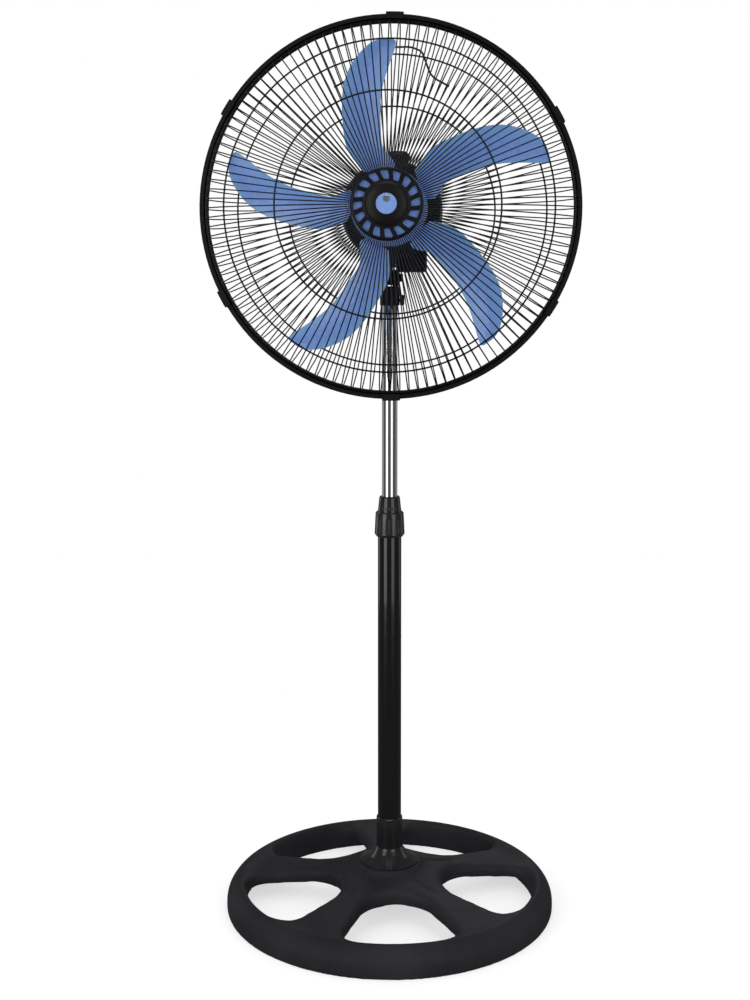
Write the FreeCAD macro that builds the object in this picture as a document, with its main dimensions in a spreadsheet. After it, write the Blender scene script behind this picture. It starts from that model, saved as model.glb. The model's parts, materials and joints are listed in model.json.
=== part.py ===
import FreeCAD, Part
import Sketcher
import math
import os

# Pedestal fan, millimetres, +Z up, front towards -Y, origin at the middle of the base's underside.
# The motor axis runs along Y; "forward" below is a distance from the pole axis towards -Y.

doc = FreeCAD.newDocument("pedestal_fan")
sheet = doc.addObject("Spreadsheet::Sheet", "sizes")

DRIVING = [
    ("base_radius", 223),
    ("base_height", 38.5),
    ("rim_inner_radius", 197),
    ("hub_top", 60),
    ("hub_radius", 44),
    ("opening_inner_radius", 75),
    ("opening_angle", 48),
    ("opening_corner", 28),
    ("cone_height", 20),
    ("sleeve_top", 121),
    ("pole_diameter", 32),
    ("pole_wall", 1.2),
    ("pole_top", 530),
    ("column_diameter", 21),
    ("column_wall", 1.2),
    ("column_foot", 330),
    ("nut_bottom", 509),
    ("nut_step", 543),
    ("nut_top", 564),
    ("nut_radius", 20.5),
    ("neck_bottom", 822.5),
    ("neck_diameter", 26.5),
    ("tilt_height", 860),
    ("ear_radius", 11),
    ("fork_gap", 8),
    ("ear_reach", 11),
    ("ear_offset", 2.5),
    ("head_height", 945.5),
    ("motor_offset", 5.5),
    ("motor_radius", 66),
    ("motor_front", 72),
    ("motor_split", 40),
    ("motor_rear", 8),
    ("shaft_radius", 4),
    ("guard_radius", 240),
    ("trim_wall", 5.5),
    ("trim_width", 18),
    ("rim_forward", 120),
    ("rear_guard_forward", 76),
    ("cap_forward", 198.4),
    ("cap_radius", 43.5),
    ("spoke_radius", 0.8),
    ("ring_wire_radius", 1.1),
    ("rim_wire_radius", 2.2),
    ("blade_tip_radius", 214),
    ("blade_hub_radius", 48),
    ("blade_forward", 128),
    ("crank_radius", 17),
    ("crank_back", 46),
    ("link_height", 880),
    ("turret_back", 38),
    ("turret_offset", 10),
    ("clutch_bottom", 1016),
    ("switch_box_bottom", 867),
    ("handle_wire_radius", 1.3),
]
for row, (alias, number) in enumerate(DRIVING, start=1):
    sheet.set("A%d" % row, alias)
    sheet.set("B%d" % row, str(number))
    sheet.setAlias("B%d" % row, alias)
doc.recompute()

BLADES = 5
BASE_OPENINGS = 5
GUARD_SPOKES = 120
CAP_SLOTS = 16
NUT_GROOVES = 28
NUT_FLUTES = 20
OPENING_START = -82.6
CLIP_ANGLES = (28.4, 88.4, 148.4, 208.4, 270.5, 328.4)
BLADE_START = 0.0
FIT = 0.05

X = FreeCAD.Vector(1, 0, 0)
Y = FreeCAD.Vector(0, 1, 0)
Z = FreeCAD.Vector(0, 0, 1)


class Size:
    """A length that remembers the sheet expression it comes from."""

    def __init__(self, value, text):
        self.value = float(value)
        self.text = text

    def combine(self, other, sign, value):
        text = other.text if isinstance(other, Size) else repr(float(other))
        return Size(value, "(%s %s %s)" % (self.text, sign, text))

    def __add__(self, other):
        return self.combine(other, "+", self.value + number(other))

    def __sub__(self, other):
        return self.combine(other, "-", self.value - number(other))

    def __mul__(self, other):
        return self.combine(other, "*", self.value * number(other))

    def __truediv__(self, other):
        return self.combine(other, "/", self.value / number(other))

    def __neg__(self):
        return Size(-self.value, "(0 - %s)" % self.text)


def number(length):
    return length.value if isinstance(length, Size) else float(length)


def dim(alias):
    return Size(sheet.get(alias), "sizes." + alias)


def bind(obj, prop, length):
    """Sets a property and ties it to the sheet where the length comes from there."""
    if "." not in prop:
        setattr(obj, prop, number(length))
    if isinstance(length, Size):
        obj.setExpression(prop, length.text)


# Shared sizes worked out from the sheet
pole_radius = dim("pole_diameter") / 2
pole_bore = pole_radius - dim("pole_wall")
column_radius = dim("column_diameter") / 2
column_bore = column_radius - dim("column_wall")
neck_radius = dim("neck_diameter") / 2
head_height = dim("head_height")
motor_offset = dim("motor_offset")
motor_radius = dim("motor_radius")
shaft_radius = dim("shaft_radius")
rim_forward = dim("rim_forward")
hub_top = dim("hub_top")
tilt_height = dim("tilt_height")

# Shared sizes that stay fixed
bolt_radius = 3
pivot_radius = 5
crank_shaft = 3
crank_x = -5
link_pin_x = 22
worm_reach = 7.4
clutch_stem = 3
rotor_gap = 30
guard_seat = 15

UPRIGHT = FreeCAD.Rotation()
ALONG_X = FreeCAD.Rotation(Y, 90)
FORWARD = FreeCAD.Rotation(X, 90)
BACKWARD = FreeCAD.Rotation(X, -90)


def place(obj, at=(0, 0, 0), turn=UPRIGHT):
    obj.Placement = FreeCAD.Placement(FreeCAD.Vector(*[number(a) for a in at]), turn)
    for axis, length in zip("xyz", at):
        if isinstance(length, Size):
            obj.setExpression("Placement.Base." + axis, length.text)
    return obj


def cylinder(name, radius, height, at=(0, 0, 0), turn=UPRIGHT):
    obj = doc.addObject("Part::Cylinder", name)
    bind(obj, "Radius", radius)
    bind(obj, "Height", height)
    return place(obj, at, turn)


def box(name, length, width, height, at=(0, 0, 0), turn=UPRIGHT):
    obj = doc.addObject("Part::Box", name)
    bind(obj, "Length", length)
    bind(obj, "Width", width)
    bind(obj, "Height", height)
    return place(obj, at, turn)


def sphere(name, radius, at=(0, 0, 0)):
    obj = doc.addObject("Part::Sphere", name)
    bind(obj, "Radius", radius)
    return place(obj, at)


def torus(name, ring, wire, at=(0, 0, 0), turn=UPRIGHT):
    obj = doc.addObject("Part::Torus", name)
    bind(obj, "Radius1", ring)
    bind(obj, "Radius2", wire)
    return place(obj, at, turn)


def fuse(name, shapes):
    obj = doc.addObject("Part::MultiFuse", name)
    obj.Shapes = shapes
    obj.Refine = True
    return obj


def cut(name, body, tool):
    obj = doc.addObject("Part::Cut", name)
    obj.Base = body
    obj.Tool = tool
    return obj


def common(name, shapes):
    obj = doc.addObject("Part::MultiCommon", name)
    obj.Shapes = shapes
    return obj


def together(name, shapes):
    obj = doc.addObject("Part::Compound", name)
    obj.Links = shapes
    return obj


def fillet(name, body, radius, wanted):
    """Rounds the edges for which wanted(edge) is true."""
    doc.recompute()
    edges = [i for i, edge in enumerate(body.Shape.Edges, start=1) if wanted(edge)]
    obj = doc.addObject("Part::Fillet", name)
    obj.Base = body
    obj.Edges = [(i, number(radius), number(radius)) for i in edges]
    return obj


def profile(name, points):
    """A closed outline of straight lines, each corner tied to the sheet where it comes from there."""
    sketch = doc.addObject("Sketcher::SketchObject", name)
    corners = [FreeCAD.Vector(number(a), number(b), 0) for a, b in points]
    lines = [Part.LineSegment(corners[i - 1], corner) for i, corner in enumerate(corners)]
    sketch.addGeometry(lines[1:] + lines[:1])
    count = len(points)
    for i in range(count):
        sketch.addConstraint(Sketcher.Constraint("Coincident", i, 2, (i + 1) % count, 1))
    for i, corner in enumerate(points):
        for kind, length, axis in (("DistanceX", corner[0], -2), ("DistanceY", corner[1], -1)):
            if number(length) == 0:
                sketch.addConstraint(Sketcher.Constraint("PointOnObject", i, 1, axis))
                continue
            index = sketch.addConstraint(Sketcher.Constraint(kind, -1, 1, i, 1, number(length)))
            if isinstance(length, Size):
                sketch.setExpression("Constraints[%d]" % index, length.text)
    return sketch


def turned(name, points, at=(0, 0, 0), turn=UPRIGHT):
    """A body of revolution about its own Z from (radius, height) corners."""
    sketch = profile(name + "_profile", points)
    sketch.Placement = FreeCAD.Placement(FreeCAD.Vector(), FreeCAD.Rotation(X, 90))
    obj = doc.addObject("Part::Revolution", name)
    obj.Source = sketch
    obj.Axis = Z
    obj.Angle = 360
    obj.Solid = True
    return place(obj, at, turn)


def extruded(name, points, depth, at=(0, 0, 0), turn=UPRIGHT):
    """A plate of the given thickness from (x, y) corners."""
    obj = doc.addObject("Part::Extrusion", name)
    obj.Base = profile(name + "_profile", points)
    obj.DirMode = "Custom"
    obj.Dir = Z
    bind(obj, "LengthFwd", depth)
    obj.Solid = True
    return place(obj, at, turn)


def tube(name, outer, inner, height, at=(0, 0, 0), turn=UPRIGHT):
    return turned(name, [(inner, 0), (outer, 0), (outer, height), (inner, height)], at, turn)


def spun_copies(name, source, count, start=0.0, axis=Z, at=(0, 0, 0)):
    """Copies of a source shape, evenly spaced about an axis through a point."""
    doc.recompute()
    centre = FreeCAD.Vector(*[number(a) for a in at])
    copies = []
    for i in range(count):
        copy = source.Shape.copy()
        copy.rotate(centre, axis, start + 360.0 * i / count)
        copies.append(copy)
    obj = doc.addObject("Part::Feature", name)
    obj.Shape = Part.Compound(copies)
    return obj


NODES = []


def node(obj, name):
    """Marks an object as one physical piece and names it."""
    obj.Label = name
    NODES.append((name, obj))
    return obj


def motor_place(forward=0):
    """A point on the motor axis, the given distance forward of the pole axis."""
    return (motor_offset, -forward if isinstance(forward, Size) else -float(forward), head_height)


# ---------------------------------------------------------------- base

rim_skin = 4
outer_skin = 7
web_floor = 46
web_under = 34
spoke_offset = 180.0 / BASE_OPENINGS
foot_hole = 4.2


def base_shell():
    """A wheel with arched openings, hollow spokes and a raised rib along the root of each spoke."""
    rim = dim("rim_inner_radius")
    outer = dim("base_radius")
    top = dim("base_height")
    hub = dim("hub_radius")
    wheel = turned("wheel", [
        (foot_hole, web_under), (30, web_under), (30, 27), (rim, 17), (rim, 0), (rim + rim_skin, 0),
        (rim + rim_skin, 30), (outer - outer_skin, 30), (outer - outer_skin, 0), (outer - 1.5, 0), (outer, 2),
        (outer, 14), (outer - 1, 20), (outer - 4, 26.5), (outer - 9, 32.5), (outer - 15, 36.5), (outer - 20, top),
        (rim + 3, top - 0.5), (rim - 3, top - 2.5), (rim - 12, top - 3.5), (85, 46), (55, 51), (hub + 2, 55),
        (hub, 57), (hub, hub_top), (pole_radius, hub_top), (pole_radius, web_floor), (foot_hole, web_floor)])
    pierced = cut("pierced_wheel", wheel, base_openings(rim))
    carved = cut("carved_wheel", pierced, spoke_hollows(rim))
    node(fuse("shell", [carved, spoke_ribs()]), "base_shell")


def base_openings(rim):
    """Sectors whose inner end is a full arch, a circle that touches both straight sides."""
    half_angle = math.radians(sheet.get("opening_angle") / 2)
    inside = sheet.get("opening_inner_radius")
    arch_centre = inside / (1 - math.sin(half_angle))
    tall = 80
    below = -5
    wedge = cylinder("opening_sector", rim, tall, (0, 0, below))
    bind(wedge, "Angle", dim("opening_angle"))
    core = cylinder("opening_core", arch_centre * math.cos(half_angle), tall + 10, (0, 0, below - 3))
    upright = lambda edge: abs(edge.BoundBox.ZLength - tall) < 1 and edge.CenterOfMass.Length > 190
    rounded = fillet("opening_rounded", cut("opening_block", wedge, core), dim("opening_corner"), upright)
    arch = cylinder("opening_arch", arch_centre - inside, tall,
                    (arch_centre * math.cos(half_angle), arch_centre * math.sin(half_angle), below))
    first = OPENING_START - sheet.get("opening_angle") / 2
    return spun_copies("openings", fuse("opening", [rounded, arch]), BASE_OPENINGS, first)


def spoke_hollows(rim):
    hollow_angle = 12
    sector = cylinder("hollow_sector", rim - 9, 32, (0, 0, -1))
    sector.Angle = hollow_angle
    hollow = cut("hollow_block", sector, cylinder("hollow_core", 100, 60, (0, 0, -8)))
    return spun_copies("hollows", hollow, BASE_OPENINGS, OPENING_START + spoke_offset - hollow_angle / 2)


def spoke_ribs():
    """Round bars half sunk in the sloping web."""
    length = 36
    radius = 5.5
    slope = 9
    inner_end = (53, 0, 47.8)
    outer_end = (inner_end[0] + length * math.cos(math.radians(slope)), 0,
                 inner_end[2] - length * math.sin(math.radians(slope)))
    bar = fuse("rib", [
        cylinder("rib_bar", radius, length, inner_end, FreeCAD.Rotation(Y, 90 + slope)),
        sphere("rib_inner_end", radius, inner_end),
        sphere("rib_outer_end", radius, outer_end)])
    return spun_copies("ribs", bar, BASE_OPENINGS, OPENING_START + spoke_offset)


def base_parts():
    channel_outer = dim("base_radius") - outer_skin
    channel_inner = dim("rim_inner_radius") + rim_skin
    node(tube("ballast", channel_outer, channel_inner, 14, (0, 0, 16)), "base_ballast")
    node(tube("bottom_cover", channel_outer, channel_inner, 2.5, (0, 0, 1.5)), "base_bottom_cover")
    cone_top = hub_top + dim("cone_height")
    sleeve = pole_radius + 1.8
    sleeve_top = dim("sleeve_top")
    node(turned("cone", [
        (pole_radius, hub_top), (40, hub_top), (40, hub_top + 1.5), (34, hub_top + 4), (27.5, hub_top + 7.5),
        (22.5, hub_top + 13), (19.5, hub_top + 17), (sleeve, cone_top), (sleeve, sleeve_top - 1),
        (sleeve - 1, sleeve_top), (pole_radius, sleeve_top)]), "pole_cone")
    node(tube("outer_tube_solid", pole_radius, pole_bore, dim("pole_top") - web_floor, (0, 0, web_floor)),
         "outer_tube")
    stud = 4
    plug_top = web_floor + 26
    plug = [(stud, web_floor), (pole_bore, web_floor), (pole_bore, plug_top), (stud, plug_top)]
    node(turned("end_plug", plug), "tube_end_plug")
    node(cylinder("stud", stud, 54, (0, 0, web_floor - 28)), "base_stud")
    node(tube("washer", 14, stud, 2, (0, 0, web_under - 2)), "base_washer")
    span = 44
    thick = 3
    wing = fuse("wing_pair", [
        box("wing_plate", span, thick, 11.9, (-span / 2, -thick / 2, web_under - 14.1)),
        cylinder("wing_hub", 8, 10, (0, 0, web_under - 12))])
    node(cut("wing_bored", wing, cylinder("wing_bore", stud, 20, (0, 0, web_under - 18))), "base_wing_nut")


# ---------------------------------------------------------------- height lock and column


def lock_nut():
    """A grooved grip below a slimmer fluted collar."""
    bottom = dim("nut_bottom")
    step = dim("nut_step")
    top = dim("nut_top")
    low = dim("nut_radius")
    bore = pole_radius + 0.3
    inside = column_radius + 0.3
    seat = dim("pole_top") + 0.5
    collar = 15.9
    blank = turned("nut_blank", [
        (bore, bottom), (low - 3, bottom), (low, bottom + 4), (low - 1.4, step - 1.5), (low - 2.6, step),
        (collar, step), (collar, step + 1.5), (collar - 1.9, top - 1.5), (collar - 2.9, top), (inside, top),
        (inside, step + 12), (15, step + 10), (15, seat), (bore, seat)])
    groove = cylinder("nut_groove", 1.2, 26, (low + 0.1, 0, bottom + 5.5))
    grooves = spun_copies("nut_grooves", groove, NUT_GROOVES)
    flute = cylinder("nut_flute", 0.9, 15, (collar + 0.2, 0, step + 3))
    flutes = spun_copies("nut_flutes", flute, NUT_FLUTES)
    node(cut("nut", cut("nut_lower", blank, grooves), flutes), "lock_nut")


def column_parts():
    foot = dim("column_foot")
    roof = dim("neck_bottom") + 20
    collet = tube("collet_ring", pole_bore - FIT, column_radius + FIT, 45, (0, 0, 506))
    node(cut("collet", collet, box("collet_slit", 20, 2, 60, (5, -1, 500))), "tube_collet")
    node(tube("inner_tube_solid", column_radius, column_bore, roof - foot, (0, 0, foot)), "inner_tube")
    node(tube("guide", pole_bore - 0.3, column_radius, 30, (0, 0, foot)), "inner_tube_guide")
    neck_socket(roof)


def neck_socket(roof):
    """The casting on top of the chrome tube, forked for the tilt joint, and its thumbscrew."""
    neck = dim("neck_bottom")
    shoulder = tilt_height - 14
    waist = tilt_height - 7
    slim = dim("ear_reach") - dim("ear_offset")
    sleeve = turned("neck_sleeve", [
        (column_radius, neck), (neck_radius - 1, neck), (neck_radius, neck + 1), (neck_radius, shoulder),
        (slim, waist), (slim, tilt_height), (0, tilt_height), (0, roof), (column_radius, roof)])
    knuckle = common("neck_knuckle", [
        cylinder("knuckle_across", dim("ear_radius"), 40, (-20, 0, tilt_height), ALONG_X),
        cylinder("knuckle_round", dim("ear_reach"), 60, (dim("ear_offset"), 0, shoulder))])
    gap = dim("fork_gap")
    slot = box("fork_slot", gap, 40, 40, (-gap / 2, -20, tilt_height - 11.5))
    slotted = cut("neck_slotted", fuse("neck_whole", [sleeve, knuckle]), slot)
    drilled = cut("neck_drilled", slotted,
                  cylinder("tilt_hole", bolt_radius, 60, (-30, 0, tilt_height), ALONG_X))
    screw_height = neck + 7.5
    thread = 2.5
    tapped = cut("neck_tapped", drilled, cylinder("screw_hole", thread, 20, (8, 0, screw_height), ALONG_X))
    node(tapped, "neck_socket")
    knob = turned("thumb_knob", [(0, 3.2), (6.4, 3.2), (7.2, 4), (7.2, 8.2), (6.4, 9), (0, 9)],
                  (column_radius, 0, screw_height), ALONG_X)
    stem = cylinder("thumb_stem", thread - FIT, 4, (column_radius + FIT, 0, screw_height), ALONG_X)
    node(fuse("thumb", [knob, stem]), "neck_thumbscrew")


# ---------------------------------------------------------------- tilt


def tilt_parts():
    """The bracket between the forks, with the upright pin that the head swings on, and its bolt."""
    tongue = dim("fork_gap") - 0.4
    half = tongue / 2
    table = tilt_height + 14
    thick = 3
    arm = link_pin_x
    whole = fuse("bracket_whole", [
        cylinder("tongue_barrel", 10, tongue, (-half, 0, tilt_height), ALONG_X),
        box("tongue_post", tongue, 14, 15, (-half, -7, tilt_height)),
        cylinder("bracket_table", 14, thick, (0, 0, table)),
        box("bracket_arm", arm, 8, thick, (-arm, -4, table)),
        cylinder("bracket_arm_end", 4, thick, (-arm, 0, table)),
        cylinder("bracket_link_pin", 2, 9, (-arm, 0, table)),
        cylinder("bracket_pivot_pin", pivot_radius, 30, (0, 0, table))])
    bore = cylinder("bracket_bore", bolt_radius + FIT, 40, (-20, 0, tilt_height), ALONG_X)
    node(cut("bracket", whole, bore), "tilt_bracket")
    left = dim("ear_offset") - dim("ear_reach")
    right = dim("ear_offset") + dim("ear_reach")
    head = 5.5
    nut = 4.5
    reach = right - left + nut
    bolt = turned("bolt", [(0, -3.5), (head - 0.5, -3.5), (head, -3), (head, 0), (bolt_radius, 0),
                           (bolt_radius, reach), (0, reach)], (left, 0, tilt_height), ALONG_X)
    node(bolt, "tilt_bolt")
    ring = [(bolt_radius, 0), (head, 0), (head, nut - 0.5), (head - 0.9, nut), (bolt_radius, nut)]
    node(turned("bolt_nut", ring, (right, 0, tilt_height), ALONG_X), "tilt_nut")


# ---------------------------------------------------------------- head


def motor_housings():
    """Two thin bells, the stator between them and a bearing in each."""
    front = dim("motor_front")
    split = dim("motor_split")
    back = dim("motor_rear")
    wall = 2
    bearing_seat = 9
    neck = 12
    node(turned("front_bell", [
        (motor_radius, split), (motor_radius, front - 9), (motor_radius - 3, front - 3.5),
        (motor_radius - 8, front), (guard_seat, front), (guard_seat, front + neck), (bearing_seat, front + neck),
        (bearing_seat, front - wall), (motor_radius - 9, front - wall), (motor_radius - wall, front - 9),
        (motor_radius - wall, split)],
        motor_place(), FORWARD), "motor_front_housing")
    node(turned("rear_bell", [
        (bearing_seat, back), (motor_radius - 14, back), (motor_radius - 6, back + 4), (motor_radius, back + 14),
        (motor_radius, split), (motor_radius - wall, split), (motor_radius - wall, back + 14),
        (motor_radius - 8, back + 6), (motor_radius - 14, back + wall), (bearing_seat, back + wall)],
        motor_place(), FORWARD), "motor_rear_housing")
    node(tube("core", motor_radius - wall, rotor_gap, 30, motor_place(26), FORWARD), "stator_core")
    coils = [turned("winding_%d" % forward, [(32, 0), (48, 0), (50, 3), (50, 9), (48, 12), (32, 12)],
                    motor_place(forward), FORWARD) for forward in (14, 56)]
    node(together("windings", coils), "stator_windings")
    for name, forward in (("bearing_rear", 8), ("bearing_front", 74)):
        ring = tube(name + "_ring", bearing_seat - FIT, shaft_radius + FIT, 8, motor_place(forward), FORWARD)
        node(ring, name)


def gearbox():
    """The box behind the motor that holds the worm, with the turret of the oscillation clutch on top."""
    bottom = 889
    tall = 86
    wide = 62
    back = 66
    wall = 3
    start = -dim("motor_rear")
    left = motor_offset - wide / 2
    block = box("gearbox_block", wide, dim("motor_rear") + back, tall, (left, start, bottom))
    outside_edge = lambda edge: (edge.BoundBox.YLength < 1 and edge.BoundBox.XLength < 1) or (
        edge.BoundBox.ZLength < 1 and edge.BoundBox.YLength < 1 and edge.CenterOfMass.y > 0
        and edge.CenterOfMass.z > bottom + 11)
    shaped = fillet("gearbox_rounded", block, 12, outside_edge)
    turret_x = dim("turret_offset")
    turret_back = dim("turret_back")
    turret_foot = bottom + tall - 10
    rim = dim("clutch_bottom") - 0.5
    turret = turned("turret", [(0, turret_foot), (12, turret_foot), (12, rim - 1.5), (10.5, rim), (0, rim)],
                    (turret_x, turret_back, 0))
    boss = cylinder("pivot_boss", 7.9, 20, (0, 0, 877.3))
    outside = fuse("gearbox_outside", [shaped, turret, boss])
    tools = fuse("gearbox_tools", [
        box("gearbox_hollow", wide - 2 * wall, back + 2, tall - 2 * wall - 1,
            (left + wall, -5, bottom + wall + 0.5)),
        box("gearbox_front_hole", 20, 10, 20, (motor_offset - 10, -12, head_height - 10)),
        cylinder("pivot_hole", pivot_radius + 0.1, 60, (0, 0, 870)),
        cylinder("crank_hole", crank_shaft + 0.1, 30, (crank_x, dim("crank_back"), 880)),
        cylinder("stem_hole", clutch_stem + 0.3, 60, (turret_x, turret_back, turret_foot))])
    node(cut("gearbox", outside, tools), "gearbox_housing")


def controls():
    """The switch box under the motor: shell, cover with two screws, switch, capacitor, cord gland and knob."""
    left = motor_offset + 5.5
    bottom = dim("switch_box_bottom")
    wide = 39.5
    front = -70
    deep = 55
    back = front + deep
    wall = 2.5
    low = sheet.get("switch_box_bottom")
    outside_edge = lambda edge: edge.BoundBox.ZLength > 30 or edge.CenterOfMass.z < low + 1
    case = fillet("case_rounded", box("case_block", wide, deep, 46, (left, front, bottom)), 4, outside_edge)
    hollow = box("case_hollow", wide - 2 * wall, deep - 2 * wall, 60, (left + wall, front + wall, bottom - 10))
    motor = cylinder("case_motor_clearance", motor_radius + FIT, 100, motor_place(), FORWARD)
    open_case = cut("case_open", cut("case_shell", case, hollow), motor)
    knob_x = left + 30
    knob_height = bottom + 11
    gland_x = left + 15
    gland_height = bottom + 7
    stem = 3
    thread = 3.4
    holes = fuse("case_holes", [
        cylinder("knob_hole", stem + 0.2, 10, (knob_x, back + 3, knob_height), FORWARD),
        cylinder("gland_hole", thread, 10, (gland_x, back + 3, gland_height), FORWARD)])
    node(cut("case", open_case, holes), "switch_box")

    screw = 1.6
    spots = [(left + 14, front + 8), (left + 33, front + 8)]
    lid = box("lid_plate", wide - 2 * wall - 0.1, deep - 2 * wall - 0.1, wall,
              (left + wall + FIT, front + wall + FIT, bottom))
    lid_holes = [cylinder("lid_hole_%d" % i, screw, 10, (x, y, bottom - 3)) for i, (x, y) in enumerate(spots)]
    node(cut("lid", lid, fuse("lid_holes", lid_holes)), "switch_box_cover")
    outline = [(0, -1.5), (2.6, -1.5), (3, -0.6), (3, 0), (screw, 0), (screw, 5), (0, 5)]
    screws = [turned("cover_screw_%d" % i, outline, (x, y, bottom)) for i, (x, y) in enumerate(spots)]
    node(together("screws", screws), "cover_screws")
    node(box("switch_block", 13, 14, 10, (knob_x - 6.5, -37, bottom + 5)), "speed_switch")
    node(box("capacitor_block", 24, 16, 8, (left + 7, -56, bottom + wall + 0.1)), "capacitor")

    cord = 2.6
    node(turned("gland_ring", [(cord, -3), (thread, -3), (thread, 0), (5, 0), (4.6, 8), (cord, 8)],
                (gland_x, back, gland_height), BACKWARD), "cord_gland")
    dial = turned("dial", [(0, 1), (8.5, 1), (8.5, 3), (7.9, 11), (7.1, 12), (0, 12)],
                  (knob_x, back, knob_height), BACKWARD)
    dial_stem = cylinder("dial_stem", stem, 8.9, (knob_x, back + 1.1, knob_height), FORWARD)
    pointer = box("dial_pointer", 2, 2, 5.5, (knob_x - 1, back + 11.4, knob_height + 1))
    node(fuse("speed_dial", [dial, dial_stem, pointer]), "speed_knob")


# ---------------------------------------------------------------- rotor and oscillator


def blade(forward):
    """One sickle blade lofted through curved sections, pointing straight up."""
    # Height up the blade, trailing edge, leading edge and pitch depth, as shares of the tip radius.
    stations = [(0.205, -0.150, -0.004, 0.140), (0.34, -0.244, -0.030, 0.150), (0.45, -0.265, -0.053, 0.145),
                (0.565, -0.273, -0.057, 0.138), (0.673, -0.268, -0.050, 0.128), (0.766, -0.246, -0.028, 0.115),
                (0.874, -0.184, 0.010, 0.095), (0.932, -0.130, 0.031, 0.075), (0.961, -0.088, 0.036, 0.055),
                (0.976, -0.030, 0.022, 0.022)]
    tip = sheet.get("blade_tip_radius")
    half = 0.9
    edge_share = 0.35
    camber = 0.16
    steps = 4
    wires = []
    for height, left, right, depth in stations:
        rise = depth * tip
        upper = []
        lower = []
        for k in range(steps + 1):
            share = k / steps
            bulge = math.sin(math.pi * share)
            x = (left + (right - left) * share) * tip
            y = rise * (share - 0.5) + camber * rise * bulge
            thick = half * (edge_share + (1 - edge_share) * bulge)
            upper.append(FreeCAD.Vector(x, y + thick, height * tip))
            lower.append(FreeCAD.Vector(x, y - thick, height * tip))
        top = Part.BSplineCurve()
        top.interpolate(upper)
        bottom = Part.BSplineCurve()
        bottom.interpolate(lower[::-1])
        ends = [Part.LineSegment(upper[-1], lower[-1]), Part.LineSegment(lower[0], upper[0])]
        wires.append(Part.Wire([top.toShape(), ends[0].toShape(), bottom.toShape(), ends[1].toShape()]))
    obj = doc.addObject("Part::Feature", "blade")
    obj.Shape = Part.makeLoft(wires, True, False)
    return place(obj, motor_place(forward))


def impeller():
    """Five blades round a cup-shaped hub."""
    forward = dim("blade_forward")
    root = dim("blade_hub_radius")
    boss = 12
    cup = turned("blade_cup", [
        (shaft_radius, -10), (boss, -10), (boss, 14), (root - 6, 14), (root - 3, 9), (root - 2, -16),
        (root, -16), (root, 10), (root - 3, 15), (root - 6, 17), (shaft_radius, 17)], motor_place(forward), FORWARD)
    blades = spun_copies("blades", blade(forward), BLADES, BLADE_START, Y, motor_place(0))
    node(fuse("fan_impeller", [cup, blades]), "fan_impeller")


def rotor():
    """Everything that turns with the motor shaft."""
    node(cylinder("shaft", shaft_radius, 200, motor_place(-58), FORWARD), "motor_shaft")
    node(tube("rotor_drum", rotor_gap - 1, shaft_radius, 34, motor_place(24), FORWARD), "rotor_core")
    impeller()
    spinner = [(shaft_radius, 145), (11, 145), (14, 147), (14, 153), (11.5, 159), (7, 162), (0, 163), (0, 142),
               (shaft_radius, 142)]
    node(turned("spinner", spinner, motor_place(0), FORWARD), "spinner_nut")
    node(tube("drive_collar", 7, shaft_radius, 6, motor_place(111), FORWARD), "drive_collar")
    blank = tube("worm_blank", worm_reach, shaft_radius, 20, motor_place(-56), FORWARD)
    pitch = 4.6
    rings = [torus("worm_groove_%d" % i, worm_reach + 0.4, 1.2, motor_place(-53 + pitch * i), FORWARD)
             for i in range(4)]
    node(cut("worm_cut", blank, together("worm_grooves", rings)), "worm")


def oscillator():
    """Worm wheel, crank, link and the clutch that switches the swing on and off."""
    back = dim("crank_back")
    wheel = 9.5
    spindle_x = motor_offset + (worm_reach + wheel + 0.1)
    gear_level = 900
    gear_thick = 5
    node(fuse("spindle", [
        cylinder("spindle_rod", 2.5, 61, (spindle_x, back, 892.55)),
        cylinder("spindle_wheel", wheel, 11, (spindle_x, back, 940)),
        cylinder("spindle_pinion", 10.8, gear_thick, (spindle_x, back, gear_level))]), "worm_wheel")

    level = dim("link_height")
    arm_level = 884
    arm = dim("crank_radius")
    pin_x = -arm + crank_x
    node(fuse("crank_whole", [
        cylinder("crank_rod", crank_shaft, 24, (crank_x, back, arm_level)),
        cylinder("crank_gear", 16.4, gear_thick, (crank_x, back, gear_level)),
        cylinder("crank_hub", 6, 4, (crank_x, back, arm_level)),
        box("crank_arm", arm, 8, 4, (pin_x, back - 4, arm_level)),
        cylinder("crank_arm_end", 4, 4, (pin_x, back, arm_level)),
        cylinder("crank_pin", 2, 6, (pin_x, back, level - 1))]), "oscillation_crank")

    eye = 4.5
    thick = 2.5
    outside = fuse("link_outside", [
        box("link_bar", 6, back, thick, (pin_x - 3, 0, level)),
        cylinder("link_front_eye", eye + 2, thick, (pin_x, 0, level)),
        cylinder("link_back_eye", eye, thick, (pin_x, back, level))])
    holes = fuse("link_holes", [
        cylinder("link_front_hole", eye, 10, (pin_x, 0, level - 3)),
        cylinder("link_back_hole", 2.2, 10, (pin_x, back, level - 3))])
    node(cut("link", outside, holes), "oscillation_link")

    place_x = dim("turret_offset")
    place_y = dim("turret_back")
    bottom = dim("clutch_bottom")
    stem = 50
    grip = turned("clutch_grip", [(0, 0), (10.5, 0), (12, 1.5), (16, 8), (16, 11), (11.5, 16.5), (0, 17)],
                  (place_x, place_y, bottom))
    rod = cylinder("clutch_stem", clutch_stem, stem, (place_x, place_y, bottom + 1 - stem))
    node(fuse("clutch", [grip, rod]), "clutch_knob")


# ---------------------------------------------------------------- guards


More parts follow.
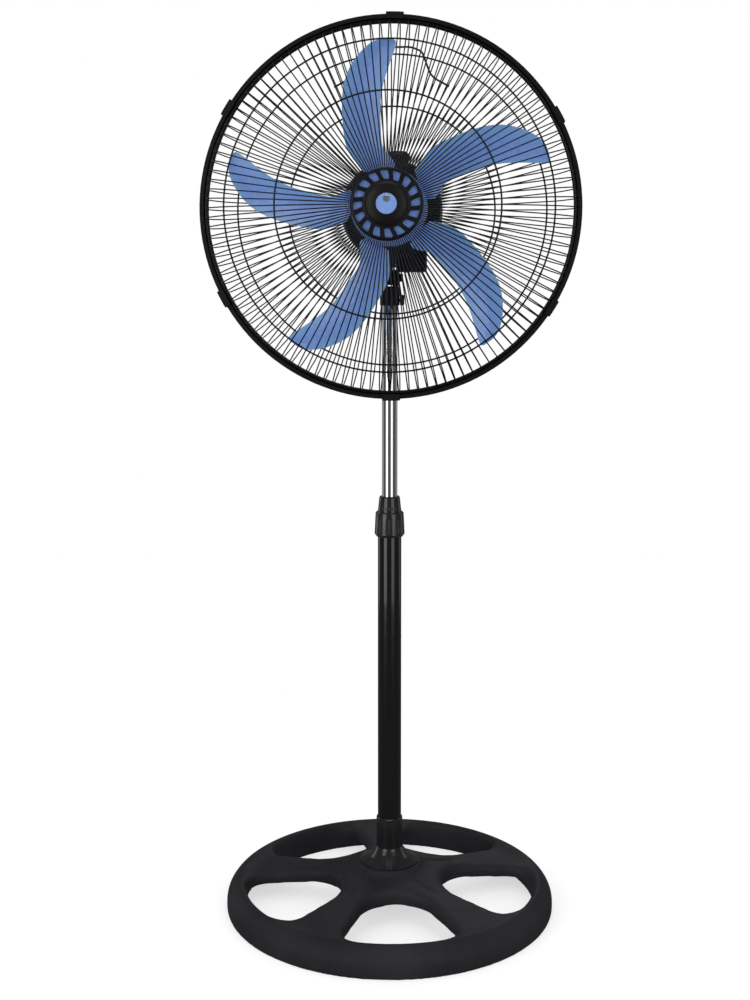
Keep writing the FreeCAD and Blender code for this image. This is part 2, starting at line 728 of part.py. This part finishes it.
def bent_wire(points, bends, radius):
    """A round wire along straight runs joined by tangent arcs."""
    points = [FreeCAD.Vector(*p) for p in points]
    edges = []
    start = points[0]
    for before, corner, after, bend in zip(points, points[1:], points[2:], bends):
        towards = (corner - before).normalize()
        away = (after - corner).normalize()
        half = towards.getAngle(away) / 2
        reach = bend * math.tan(half)
        first = corner - towards * reach
        last = corner + away * reach
        inward = (away - towards).normalize()
        middle = corner + inward * (bend / math.cos(half) - bend)
        edges.append(Part.LineSegment(start, first).toShape())
        edges.append(Part.Arc(first, middle, last).toShape())
        start = last
    edges.append(Part.LineSegment(start, points[-1]).toShape())
    section = Part.Wire([Part.Circle(points[0], points[1] - points[0], radius).toShape()])
    return Part.Wire(edges).makePipeShell([section], True, True)


def ring_behind(points, bends, index, clearance):
    """Radius and forward place of a ring that touches the inside of the wires at one of their bends."""
    before, corner, after = [FreeCAD.Vector(*p) for p in points[index - 1:index + 2]]
    towards = (corner - before).normalize()
    away = (after - corner).normalize()
    half = towards.getAngle(away) / 2
    inward = (away - towards).normalize()
    spot = corner + inward * (bends[index - 1] * (1 / math.cos(half) - 1) + clearance)
    return spot.x, -spot.y


def guard_spokes(name, points, bends):
    wire = doc.addObject("Part::Feature", name + "_wire")
    wire.Shape = bent_wire(points, bends, sheet.get("spoke_radius"))
    place(wire, motor_place(0))
    return spun_copies(name, wire, GUARD_SPOKES, 0, Y, motor_place(0))


def guards():
    """Front and rear cages of wires welded to rings, the rear one clamped to the motor."""
    rim = sheet.get("rim_forward")
    rim_wire = sheet.get("rim_wire_radius")
    edge = sheet.get("guard_radius") - sheet.get("trim_wall") - rim_wire
    rear = sheet.get("rear_guard_forward")
    collar = sheet.get("cap_forward") - 1.4
    ring_wire = dim("ring_wire_radius")
    touch = sheet.get("spoke_radius") + sheet.get("ring_wire_radius") + FIT
    rim_gap = 4.5
    end_gap = rim_gap + rim_wire + FIT

    front_path = [(edge, -rim - end_gap, 0), (edge, -rim - 16, 0), (206.5, -rim - 38.6, 0),
                  (139.5, -rim - 65.6, 0), (44.8, -collar, 0)]
    front_bends = [18, 120, 300]
    node(guard_spokes("front_spokes", front_path, front_bends), "front_guard_spokes")
    front_rings = [torus("front_rim_wire", edge, dim("rim_wire_radius"), motor_place(rim + rim_gap), FORWARD),
                   torus("front_collar", 43.3, 1.2, motor_place(collar), FORWARD)]
    for index in (2, 3):
        radius, forward = ring_behind(front_path, front_bends, index, touch)
        front_rings.append(torus("front_ring_%d" % index, radius, ring_wire, motor_place(forward), FORWARD))
    node(together("front_rings", front_rings), "front_guard_rings")

    rear_path = [(35.5, -rear, 0), (214, -rear, 0), (edge, -rim + 22, 0), (edge, -rim + end_gap, 0)]
    node(guard_spokes("rear_spokes", rear_path, [24, 24]), "rear_guard_spokes")
    rear_rings = [torus("rear_rim_wire", edge, dim("rim_wire_radius"), motor_place(rim - rim_gap), FORWARD)]
    for index, radius in enumerate((199.6, 133.3)):
        rear_rings.append(torus("rear_ring_%d" % index, radius, ring_wire, motor_place(rear - touch), FORWARD))
    node(together("rear_rings", rear_rings), "rear_guard_rings")

    plate_face = sheet.get("motor_front")
    node(tube("rear_plate", 42, guard_seat, rear - 0.85 - plate_face, motor_place(plate_face), FORWARD),
         "rear_guard_plate")
    guard_nut()
    handle(rear)


def guard_nut():
    """The notched ring nut that clamps the rear cage."""
    outside = 32
    ring = tube("guard_nut_ring", outside, guard_seat + FIT, 12, motor_place(75.3), FORWARD)
    notch = cylinder("guard_nut_notch", 3, 30, (motor_offset + (outside + 0.8), -70, head_height), FORWARD)
    notches = spun_copies("guard_nut_notches", notch, 8, 0, Y, motor_place(0))
    node(cut("guard_nut_cut", ring, notches), "guard_nut")


def handle(rear):
    """The carrying handle, a wire arch welded behind the rear cage."""
    wire = sheet.get("handle_wire_radius")
    behind = -rear + sheet.get("spoke_radius") + wire + 0.1
    side = [(74, behind, 158), (51, behind, 170.5), (38.5, -56, 206), (24, -52, 212.4)]
    bends = [22, 12, 18]
    route = side + [(-x, y, z) for x, y, z in side[::-1]]
    obj = doc.addObject("Part::Feature", "handle_wire")
    obj.Shape = bent_wire(route, bends + bends[::-1], wire)
    node(place(obj, motor_place(0)), "rear_guard_handle")


def trim():
    """The band that joins the two cages at the rim, and the clips over it."""
    outer = dim("guard_radius")
    inner = outer - dim("trim_wall") + FIT
    width = dim("trim_width")
    edge = 1.2
    node(turned("trim_band", [
        (inner, 0), (outer - edge, 0), (outer, edge), (outer, width - edge), (outer - edge, width),
        (inner, width)],
        motor_place(rim_forward - width / 2), FORWARD), "trim_ring")
    lip = 4
    long = 22
    for letter, angle in zip("abcdef", CLIP_ANGLES):
        block = tube("clip_ring_" + letter, outer + 1.8, outer - 6.3, width + 2 * lip,
                     motor_place(rim_forward - width / 2 - lip), FORWARD)
        band = tube("clip_band_" + letter, outer + FIT, outer - 8, width + 0.1,
                    motor_place(rim_forward - width / 2 - 0.05), FORWARD)
        across = FreeCAD.Rotation(Y, -angle)
        keep = box("clip_keep_" + letter, 60, 60, long, (0, 0, 0), across)
        corner = across.multVec(FreeCAD.Vector(200, 0, -long / 2))
        keep.Placement.Base = FreeCAD.Vector(*[number(a) for a in motor_place(150)]) + corner
        shape = common("clip_piece_" + letter, [cut("clip_hollow_" + letter, block, band), keep])
        node(shape, "guard_clip_" + letter)


def cap():
    """The front cap: a slotted black disc over a blue backing, with a riveted badge in the middle."""
    radius = dim("cap_radius")
    base = dim("cap_forward")
    badge_radius = 12.6
    badge_seat = base + 8.6
    slot_inner = 29.3
    slot_outer = 40.2
    lean = 3.4
    disc = turned("cap_disc_blank", [
        (0, 2), (26, 2), (28, 0), (radius, 0), (radius, 3), (radius - 1, 4.6), (radius - 2.5, 5.2),
        (28.6, 5.2), (27, 5.6), (24, 7.6), (18, 9.6), (13, 10.4), (13, 8.6), (0, 8.6)],
        motor_place(base), FORWARD)
    plan = [(slot_inner, -3.3), (slot_outer, lean - 5.3), (slot_outer, lean + 5.3), (slot_inner, 3.3)]
    block = extruded("cap_slot_block", plan, 30, motor_place(base - 15), FORWARD)
    corners = lambda edge: edge.BoundBox.YLength > 29
    slot = fillet("cap_slot_rounded", block, 1.8, corners)
    slots = spun_copies("cap_slots", slot, CAP_SLOTS, 0, Y, motor_place(0))
    node(cut("cap_cut", disc, slots), "cap_ring")
    node(cylinder("cap_back", 42, 2, motor_place(base - 2), FORWARD), "cap_backing")
    dome = [(0, 0), (badge_radius, 0), (badge_radius, 1.6), (badge_radius - 0.6, 2.2), (0, 2.6)]
    badge = turned("cap_badge", dome, motor_place(badge_seat), FORWARD)
    shank = 1.6
    above = head_height + 6
    hole = cylinder("badge_hole", shank, 20, (motor_offset, -(base + 2), above), FORWARD)
    node(cut("badge", badge, hole), "cap_disc")
    rivet = [(0, 0), (shank - FIT, 0), (shank - FIT, 2.7), (3.7, 2.7), (3.7, 3.4), (3.2, 3.8), (2.5, 3.8),
             (2.2, 3.3), (0, 3.2)]
    node(turned("rivet", rivet, (motor_offset, -badge_seat, above), FORWARD), "cap_rivet")


# ---------------------------------------------------------------- build, check, write

base_shell()
base_parts()
lock_nut()
column_parts()
tilt_parts()
motor_housings()
gearbox()
controls()
rotor()
oscillator()
guards()
trim()
cap()
doc.recompute()

for obj in doc.Objects:
    if "Invalid" in obj.State or "Error" in obj.State:
        raise RuntimeError("failed: " + obj.Name)
for name, obj in NODES:
    if obj.Shape.isNull() or not obj.Shape.isValid() or not obj.Shape.Solids:
        raise RuntimeError("bad shape: " + name)
    if len(obj.Shape.Solids) > 1:
        print(name, "solids", len(obj.Shape.Solids))

os.makedirs("parts", exist_ok=True)
for name, obj in NODES:
    obj.Shape.exportStep("parts/%s.step" % name)
print(len(NODES), "pieces written")
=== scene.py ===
import json
import math

import bpy
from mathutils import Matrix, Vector


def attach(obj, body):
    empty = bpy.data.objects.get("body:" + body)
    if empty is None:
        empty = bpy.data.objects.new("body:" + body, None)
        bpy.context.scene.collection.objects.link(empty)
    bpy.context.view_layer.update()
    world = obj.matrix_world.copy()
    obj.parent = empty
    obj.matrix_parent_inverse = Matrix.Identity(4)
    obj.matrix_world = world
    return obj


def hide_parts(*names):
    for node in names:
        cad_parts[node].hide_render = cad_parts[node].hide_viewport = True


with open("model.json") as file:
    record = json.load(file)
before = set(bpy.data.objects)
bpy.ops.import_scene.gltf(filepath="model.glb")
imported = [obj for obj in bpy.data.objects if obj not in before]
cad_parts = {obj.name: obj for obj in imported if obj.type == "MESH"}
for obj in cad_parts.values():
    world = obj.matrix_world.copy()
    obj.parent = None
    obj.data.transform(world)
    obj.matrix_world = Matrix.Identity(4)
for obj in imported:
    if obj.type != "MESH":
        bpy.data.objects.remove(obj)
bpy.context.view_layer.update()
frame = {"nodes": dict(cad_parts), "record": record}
NODES = frame["nodes"]


# ---------------------------------------------------------------- material building blocks


class Recipe:
    """A node material under construction: one Principled shader and a few texture helpers."""

    def __init__(self, name, colour, roughness, metallic=0.0, **sockets):
        self.material = bpy.data.materials.new(name)
        self.material.use_nodes = True
        self.tree = self.material.node_tree
        self.shader = self.tree.nodes["Principled BSDF"]
        self.shader.inputs["Base Color"].default_value = (*colour, 1.0)
        self.shader.inputs["Roughness"].default_value = roughness
        self.shader.inputs["Metallic"].default_value = metallic
        for socket, value in sockets.items():
            self.shader.inputs[socket.replace("_", " ")].default_value = value
        self.place = self.tree.nodes.new("ShaderNodeTexCoord").outputs["Object"]

    def link(self, source, target):
        self.tree.links.new(source, target)

    def stretched(self, x, y, z):
        """Object coordinates scaled unevenly, for brushed or drawn surfaces."""
        mapping = self.tree.nodes.new("ShaderNodeMapping")
        mapping.inputs["Scale"].default_value = (x, y, z)
        self.link(self.place, mapping.inputs["Vector"])
        return mapping.outputs["Vector"]

    def noise(self, scale, detail=2.0, at=None):
        node = self.tree.nodes.new("ShaderNodeTexNoise")
        node.inputs["Scale"].default_value = scale
        node.inputs["Detail"].default_value = detail
        self.link(at or self.place, node.inputs["Vector"])
        return node.outputs["Fac"]

    def ramp(self, value, stops):
        node = self.tree.nodes.new("ShaderNodeValToRGB")
        ramp = node.color_ramp
        ramp.elements[0].position, ramp.elements[1].position = stops[0][0], stops[-1][0]
        ramp.elements[0].color, ramp.elements[1].color = (*stops[0][1], 1), (*stops[-1][1], 1)
        for position, colour in stops[1:-1]:
            ramp.elements.new(position).color = (*colour, 1)
        self.link(value, node.inputs["Fac"])
        return node.outputs["Color"]

    def between(self, value, low, high):
        node = self.tree.nodes.new("ShaderNodeMapRange")
        node.inputs["To Min"].default_value = low
        node.inputs["To Max"].default_value = high
        self.link(value, node.inputs["Value"])
        return node.outputs["Result"]

    def colour(self, value, *stops):
        self.link(self.ramp(value, stops), self.shader.inputs["Base Color"])

    def rough(self, value, low, high):
        self.link(self.between(value, low, high), self.shader.inputs["Roughness"])

    def bump(self, height, distance, strength=1.0):
        node = self.tree.nodes.new("ShaderNodeBump")
        node.inputs["Distance"].default_value = distance
        node.inputs["Strength"].default_value = strength
        self.link(height, node.inputs["Height"])
        if self.shader.inputs["Normal"].is_linked:
            self.link(self.shader.inputs["Normal"].links[0].from_socket, node.inputs["Normal"])
        self.link(node.outputs["Normal"], self.shader.inputs["Normal"])


def moulded_base():
    """Coarse black moulded plastic of the base."""
    recipe = Recipe("base_plastic", (0.012, 0.012, 0.013), 0.6, Specular_IOR_Level=0.3)
    cloud = recipe.noise(9.0, 3.0)
    recipe.colour(cloud, (0.3, (0.010, 0.0093, 0.013)), (0.7, (0.019, 0.0178, 0.0235)))
    recipe.rough(recipe.noise(40.0, 4.0), 0.48, 0.68)
    recipe.bump(recipe.noise(620.0, 3.0), 0.0006, 0.75)
    recipe.bump(recipe.noise(90.0, 2.0), 0.0012, 0.18)
    return recipe.material


def textured_plastic(name, tone):
    """Fine spark-eroded plastic."""
    recipe = Recipe(name, (tone, tone, tone * 1.05), 0.42, Specular_IOR_Level=0.25)
    recipe.colour(recipe.noise(25.0, 3.0), (0.3, (tone * 0.8,) * 3), (0.7, (tone * 1.25,) * 3))
    recipe.rough(recipe.noise(120.0, 3.0), 0.34, 0.5)
    recipe.bump(recipe.noise(1400.0, 2.0), 0.00012, 0.5)
    return recipe.material


def gloss_moulding():
    """Polished black plastic of the nut and the cone, with faint sink marks."""
    recipe = Recipe("gloss_moulding", (0.009, 0.009, 0.010), 0.22, Coat_Weight=0.5, Coat_Roughness=0.08)
    recipe.colour(recipe.noise(30.0, 3.0), (0.3, (0.007, 0.007, 0.008)), (0.7, (0.013, 0.013, 0.015)))
    recipe.rough(recipe.noise(150.0, 3.0), 0.18, 0.3)
    recipe.bump(recipe.noise(160.0, 2.0), 0.0001, 0.25)
    return recipe.material


def gloss_black():
    """Stove-enamelled black tube."""
    recipe = Recipe("black_enamel", (0.004, 0.004, 0.005), 0.16, Coat_Weight=0.4, Coat_Roughness=0.03)
    recipe.rough(recipe.noise(60.0, 4.0), 0.12, 0.2)
    recipe.bump(recipe.noise(260.0, 2.0), 0.00006, 0.3)
    return recipe.material


def chrome():
    """Bright plating of the sliding tube, faintly drawn along its length."""
    recipe = Recipe("chrome_plate", (0.78, 0.79, 0.81), 0.06, 1.0)
    drawn = recipe.stretched(1.0, 1.0, 0.02)
    recipe.rough(recipe.noise(900.0, 2.0, drawn), 0.03, 0.1)
    recipe.bump(recipe.noise(700.0, 2.0, drawn), 0.00002, 0.2)
    return recipe.material


def guard_wire():
    """Thin glossy coating on the guard's wire."""
    recipe = Recipe("guard_coating", (0.004, 0.004, 0.005), 0.3, Specular_IOR_Level=0.3,
                    Coat_Weight=0.15, Coat_Roughness=0.12)
    recipe.rough(recipe.noise(300.0, 3.0), 0.24, 0.38)
    recipe.bump(recipe.noise(900.0, 2.0), 0.00005, 0.3)
    return recipe.material


def blue_plastic():
    """Translucent blue blade plastic with faint flow lines."""
    recipe = Recipe("blue_plastic", (0.19, 0.32, 0.70), 0.26, Subsurface_Weight=0.35, Subsurface_Scale=0.01,
                    Coat_Weight=0.35, Coat_Roughness=0.08)
    recipe.shader.inputs["Subsurface Radius"].default_value = (0.25, 0.5, 1.0)
    recipe.colour(recipe.noise(14.0, 2.0), (0.3, (0.175, 0.30, 0.67)), (0.7, (0.21, 0.345, 0.74)))
    recipe.rough(recipe.noise(70.0, 3.0), 0.2, 0.34)
    recipe.bump(recipe.noise(35.0, 2.0), 0.0003, 0.15)
    return recipe.material


def plated_steel():
    """Dull zinc-plated steel of the fasteners and the shaft."""
    tone = 0.62
    recipe = Recipe("plated_steel", (tone, tone, tone * 1.02), 0.3, 1.0)
    recipe.rough(recipe.noise(500.0, 3.0, recipe.stretched(1.0, 1.0, 6.0)), 0.2, 0.42)
    recipe.bump(recipe.noise(1200.0, 2.0), 0.00003, 0.3)
    return recipe.material


def metal(name, dark, light, low, high):
    """Bare metal, mottled between two tones and two roughnesses."""
    recipe = Recipe(name, light, low, 1.0)
    recipe.colour(recipe.noise(80.0, 4.0), (0.35, dark), (0.65, light))
    recipe.rough(recipe.noise(200.0, 3.0), low, high)
    recipe.bump(recipe.noise(600.0, 3.0), 0.0001, 0.3)
    return recipe.material


def pale_plastic(name, tone):
    """Slightly translucent light-coloured plastic."""
    recipe = Recipe(name, tone, 0.4, Subsurface_Weight=0.1, Subsurface_Scale=0.004)
    recipe.rough(recipe.noise(90.0, 3.0), 0.32, 0.5)
    recipe.bump(recipe.noise(800.0, 2.0), 0.00008, 0.3)
    return recipe.material


FINISHES = {
    "base_plastic": moulded_base(),
    "ballast": metal("cast_ballast", (0.10, 0.10, 0.10), (0.22, 0.21, 0.20), 0.55, 0.8),
    "black_gloss": gloss_black(),
    "black_plastic": textured_plastic("black_plastic", 0.004),
    "chrome": chrome(),
    "steel": plated_steel(),
    "brass": metal("turned_brass", (0.60, 0.42, 0.18), (0.78, 0.60, 0.30), 0.2, 0.4),
    "blue_plastic": blue_plastic(),
    "guard_wire": guard_wire(),
    "copper": metal("winding_copper", (0.45, 0.18, 0.08), (0.72, 0.36, 0.18), 0.3, 0.5),
    "cover_grey": textured_plastic("grey_plastic", 0.18),
    "white_plastic": pale_plastic("white_plastic", (0.78, 0.77, 0.73)),
}

# Pieces that share the black plastic's slot but are polished.
POLISHED = ("lock_nut", "pole_cone")
SMOOTH_BELOW = 35


def finish_nodes():
    """Gives every CAD node its slot's or the polished material, and smooth shading over rounded faces."""
    slots = {part["node"]: part["material_slot"] for part in frame["record"]["subparts"]}
    polished = gloss_moulding()
    for name, obj in NODES.items():
        obj.data.materials.clear()
        obj.data.materials.append(polished if name in POLISHED else FINISHES[slots[name]])
        smooth(obj, SMOOTH_BELOW)


def smooth(obj, angle):
    """Shades the mesh smoothly except across edges sharper than the angle, in degrees."""
    obj.data.polygons.foreach_set("use_smooth", [True] * len(obj.data.polygons))
    obj.data.set_sharp_from_angle(angle=math.radians(angle))


# ---------------------------------------------------------------- softened base

FIRST_RIB = -46.6
RIB_SPACING = 72
RIB_REACH = (0.044, 0.097)
RIB_HALF_WIDTH = 0.0085
# The ballast lies close under the rim and the cone stands on the hub, so both keep nearly their full shape.
RIM_RADIUS = 0.204
HUB_RADIUS = 0.048
RIM_FREEDOM = 0.12
HUB_FREEDOM = 0.1
RIB_FREEDOM = 0.0
# Elsewhere smoothing grows with height up to this one, and what touches the floor stays on it.
LEAST_FREEDOM = 0.3
FREE_HEIGHT = 0.012
FLOOR_HEIGHT = 0.0015


def near_rib(place):
    """Whether a point lies, seen from above, over one of the ribs at the spoke roots."""
    radius = math.hypot(place.x, place.y)
    nearest, furthest = RIB_REACH
    if not nearest < radius < furthest:
        return False
    turn = math.degrees(math.atan2(place.y, place.x)) - FIRST_RIB
    half = RIB_SPACING / 2
    off = math.radians((turn + half) % RIB_SPACING - half)
    return abs(radius * math.sin(off)) < RIB_HALF_WIDTH


def freedom(place):
    """How far smoothing may carry a point of the base: 1 is all the way, 0 is not at all."""
    radius = math.hypot(place.x, place.y)
    if radius > RIM_RADIUS:
        return RIM_FREEDOM
    if radius < HUB_RADIUS:
        return HUB_FREEDOM
    if near_rib(place):
        return RIB_FREEDOM
    return min(1.0, max(LEAST_FREEDOM, place.z / FREE_HEIGHT))


def soft_base():
    """The moulded wheel with every edge rolled over, as a blow-moulded shell has."""
    obj = bpy.data.objects.new("base_wheel", NODES["base_shell"].data.copy())
    bpy.context.scene.collection.objects.link(obj)
    remesh = obj.modifiers.new("remesh", "REMESH")
    remesh.mode = "VOXEL"
    remesh.voxel_size = 0.0022
    settle(obj)
    heights = [vertex.co.z for vertex in obj.data.vertices]
    group = obj.vertex_groups.new(name="free")
    for vertex in obj.data.vertices:
        group.add([vertex.index], freedom(vertex.co), "REPLACE")
    rolled = obj.modifiers.new("rolled", "SMOOTH")
    rolled.factor = 0.5
    rolled.iterations = 90
    rolled.vertex_group = "free"
    settle(obj)
    for vertex, height in zip(obj.data.vertices, heights):
        if height < FLOOR_HEIGHT:
            vertex.co.z = height
    obj.data.materials.clear()
    obj.data.materials.append(FINISHES["base_plastic"])
    smooth(obj, 80)
    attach(obj, "base")
    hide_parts("base_shell")


def settle(obj):
    """Applies an object's modifiers to its mesh."""
    bpy.context.view_layer.update()
    graph = bpy.context.evaluated_depsgraph_get()
    mesh = bpy.data.meshes.new_from_object(obj.evaluated_get(graph))
    obj.modifiers.clear()
    obj.data = mesh


# ---------------------------------------------------------------- studio


def round_sheet(name, radius, sides):
    """A flat polygon on the floor, close to a circle about the origin."""
    turns = [2 * math.pi * side / sides for side in range(sides)]
    ring = [(radius * math.cos(turn), radius * math.sin(turn), 0.0) for turn in turns]
    mesh = bpy.data.meshes.new(name)
    mesh.from_pydata(ring, [], [list(range(sides))])
    obj = bpy.data.objects.new(name, mesh)
    bpy.context.scene.collection.objects.link(obj)
    return obj


def pale_paper():
    """Matt white paper, clear beyond a radius and clear to glossy rays, so that reflections stay dark."""
    recipe = Recipe("pale_paper", (0.5, 0.5, 0.5), 0.9, Specular_IOR_Level=0.1, Emission_Strength=0.62)
    recipe.shader.inputs["Emission Color"].default_value = (1, 1, 1, 1)
    recipe.colour(recipe.noise(0.6, 2.0), (0.3, (0.49, 0.49, 0.49)), (0.7, (0.51, 0.51, 0.51)))
    tree = recipe.tree
    reach = tree.nodes.new("ShaderNodeVectorMath")
    reach.operation = "LENGTH"
    recipe.link(recipe.place, reach.inputs[0])
    fade = tree.nodes.new("ShaderNodeMapRange")
    fade.interpolation_type = "SMOOTHSTEP"
    fade.inputs["From Min"].default_value = 0.3
    fade.inputs["From Max"].default_value = 1.0
    recipe.link(reach.outputs["Value"], fade.inputs["Value"])
    clear = tree.nodes.new("ShaderNodeMath")
    clear.operation = "MAXIMUM"
    recipe.link(fade.outputs["Result"], clear.inputs[0])
    recipe.link(tree.nodes.new("ShaderNodeLightPath").outputs["Is Glossy Ray"], clear.inputs[1])
    mix = tree.nodes.new("ShaderNodeMixShader")
    recipe.link(clear.outputs["Value"], mix.inputs["Fac"])
    recipe.link(recipe.shader.outputs["BSDF"], mix.inputs[1])
    recipe.link(tree.nodes.new("ShaderNodeBsdfTransparent").outputs["BSDF"], mix.inputs[2])
    recipe.link(mix.outputs["Shader"], tree.nodes["Material Output"].inputs["Surface"])
    return recipe.material


def floor():
    """A round sheet of pale paper that fades into the white surroundings."""
    obj = round_sheet("paper", radius=1.2, sides=96)
    obj.data.materials.append(pale_paper())


def softbox(name, place, aim, width, height, power):
    """A rectangular area light at a place, facing a point."""
    light = bpy.data.lights.new(name, "AREA")
    light.shape = "RECTANGLE"
    light.size = width
    light.size_y = height
    light.energy = power
    obj = bpy.data.objects.new(name, light)
    obj.location = place
    obj.rotation_euler = (Vector(aim) - Vector(place)).to_track_quat("-Z", "Y").to_euler()
    bpy.context.scene.collection.objects.link(obj)


def tall_panel(name, azimuth, width, power):
    """A softbox as tall as the fan, facing the pole from the given side."""
    angle, away, tall, middle = math.radians(azimuth), 2.2, 2.5, 1.15
    place = (away * math.sin(angle), -away * math.cos(angle), middle)
    softbox(name, place, (0.0, 0.0, 1.0), width, tall, power)


def surroundings():
    """White surroundings, at full strength only to the camera: dimmer as fill light, dim in reflections."""
    world = bpy.data.worlds.new("studio")
    world.use_nodes = True
    tree = world.node_tree
    background = tree.nodes["Background"]
    background.inputs["Color"].default_value = (1.0, 1.0, 1.0, 1)
    rays = tree.nodes.new("ShaderNodeLightPath")
    fill = tree.nodes.new("ShaderNodeMath")
    reflected = tree.nodes.new("ShaderNodeMath")
    for dimmer, ray, loss in ((fill, "Is Diffuse Ray", 0.42), (reflected, "Is Glossy Ray", 0.91)):
        dimmer.operation = "MULTIPLY_ADD"
        dimmer.inputs[1].default_value = -loss
        tree.links.new(rays.outputs[ray], dimmer.inputs[0])
    fill.inputs[2].default_value = 1.0
    tree.links.new(fill.outputs["Value"], reflected.inputs[2])
    tree.links.new(reflected.outputs["Value"], background.inputs["Strength"])
    bpy.context.scene.world = world


def studio():
    """Soft light all round. Two tall panels beside the camera show as paired stripes in the tubes."""
    surroundings()
    tall_panel("panel_left", -39, 1.15, 18)
    tall_panel("panel_right", 35, 1.15, 12)
    tall_panel("side_left", -118, 0.5, 3.6)
    tall_panel("side_right", 118, 0.5, 2.2)
    softbox("overhead", (0.0, -0.5, 3.2), (0.0, 0.0, 0.6), 1.8, 1.4, 14)
    softbox("behind", (0.3, 2.6, 1.9), (0.0, 0.0, 0.7), 0.7, 1.8, 6)


def camera():
    """Stands a little to the right of the pole and above the middle of the fan, looking slightly down."""
    azimuth, pitch = math.radians(3.28), math.radians(3.21)
    distance, height, aside = 1.859, 0.833, -0.0199
    sensor, focal_ratio = 36, 1.376
    data = bpy.data.cameras.new("camera")
    data.sensor_width = sensor
    data.lens = sensor * focal_ratio
    data.shift_y = -0.125
    obj = bpy.data.objects.new("camera", data)
    right = Vector((math.cos(azimuth), math.sin(azimuth), 0))
    back = Vector((math.sin(azimuth), -math.cos(azimuth), 0))
    obj.location = back * distance + right * aside + Vector((0, 0, height))
    obj.rotation_euler = (math.pi / 2 - pitch, 0, azimuth)
    bpy.context.scene.collection.objects.link(obj)
    bpy.context.scene.camera = obj
    bpy.context.scene.view_settings.view_transform = "Standard"


finish_nodes()
soft_base()
floor()
studio()
camera()
